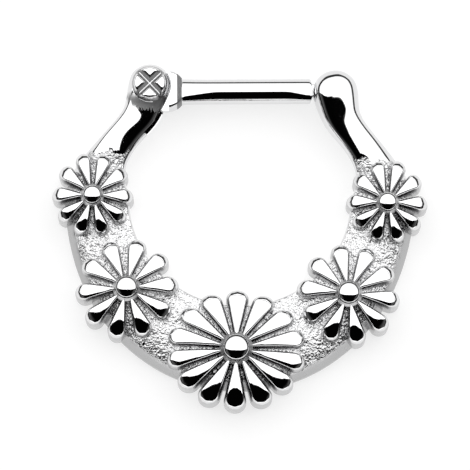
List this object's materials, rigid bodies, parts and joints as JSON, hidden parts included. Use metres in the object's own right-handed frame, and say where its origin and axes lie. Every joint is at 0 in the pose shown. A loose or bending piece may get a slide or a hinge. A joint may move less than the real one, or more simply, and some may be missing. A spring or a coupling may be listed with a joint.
{
  "type": "hinged septum ring",
  "caption": "Hinged septum ring: a steel horseshoe with raised daisy flowers and ball centres, closed by a straight hinged bar that latches in a ball.",
  "frame": {"origin": "middle of the ring's plan, on the plane of its flat back", "axes": "+X along the bar from the hinge to the ball, +Y from the flowers to the bar, +Z out of the flowered front"},
  "size_m": [0.0178, 0.0165, 0.0028],
  "materials": {
    "cast_steel": "mirror polished, with a stippled matte ground between the flowers",
    "bar_steel": "mirror polished",
    "rivet_steel": "polished, with a punched cross"
  },
  "bodies": {
    "casting": {"ring": "cast_steel", "rivet": "rivet_steel"},
    "bar": {"bar": "bar_steel"}
  },
  "joints": [
    {"name": "hinge", "type": "hinge", "parent": "casting", "child": "bar", "pos_m": [-0.00441, 0.0072, 0.00115], "axis": [0, 0, 1], "range_deg": [0, 105]}
  ]
}
